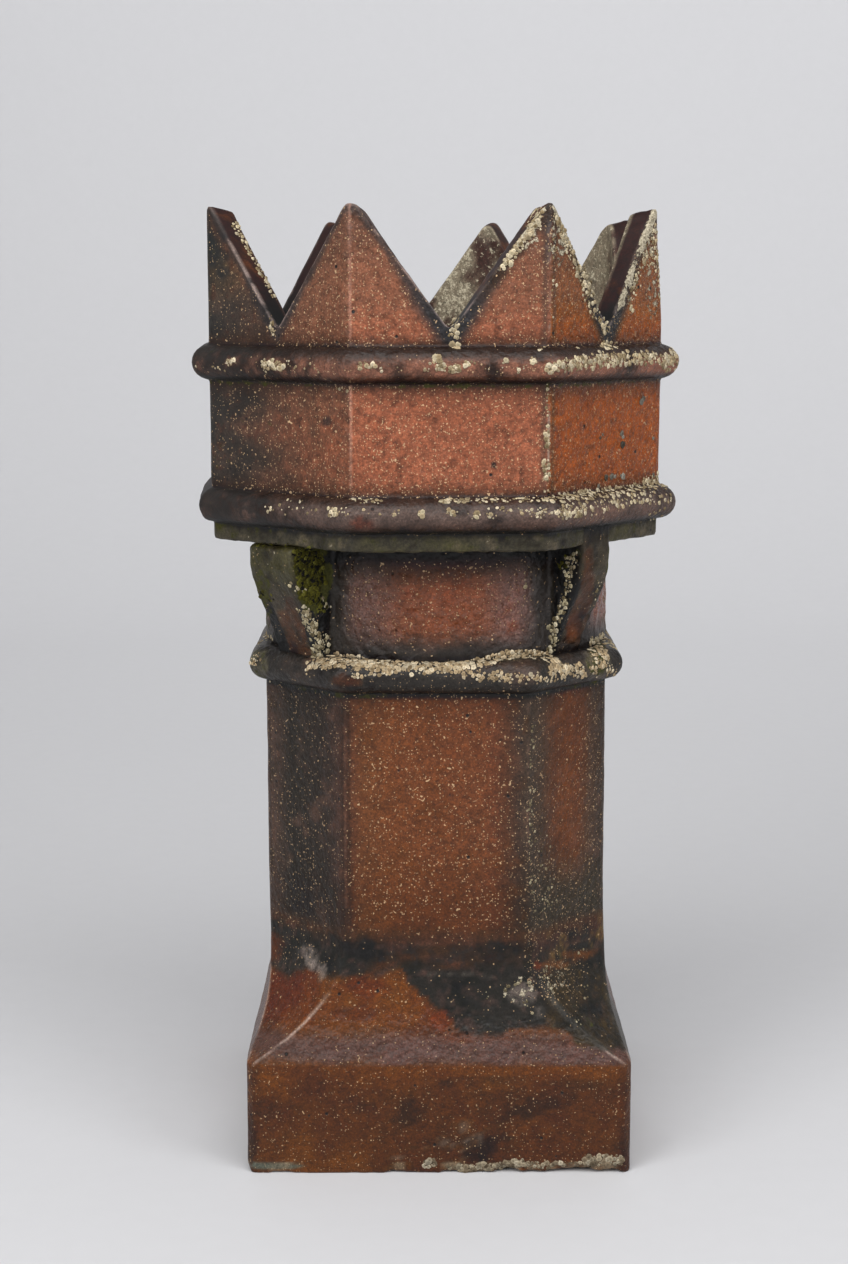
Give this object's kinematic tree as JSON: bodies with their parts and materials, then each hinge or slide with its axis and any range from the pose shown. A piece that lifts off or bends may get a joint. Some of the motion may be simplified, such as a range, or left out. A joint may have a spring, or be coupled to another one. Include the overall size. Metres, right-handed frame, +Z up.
{
  "type": "chimney pot",
  "caption": "Fired-clay chimney pot with a square base, bevelled shaft, vented neck and pointed eight-sided crown around an open flue.",
  "frame": {"origin": "under the crown's axis, which is the centre of the outline, at the level of the foot", "axes": "+Z up along the flue, -Y toward the front face of the base, +X to the right of it"},
  "size_m": [0.4742, 0.4742, 0.9],
  "materials": {
    "fired_clay": "weathered salt-glazed fireclay, red-brown, with soot and lichen"
  },
  "bodies": {
    "root": {"pot": "fired_clay"}
  },
  "joints": []
}
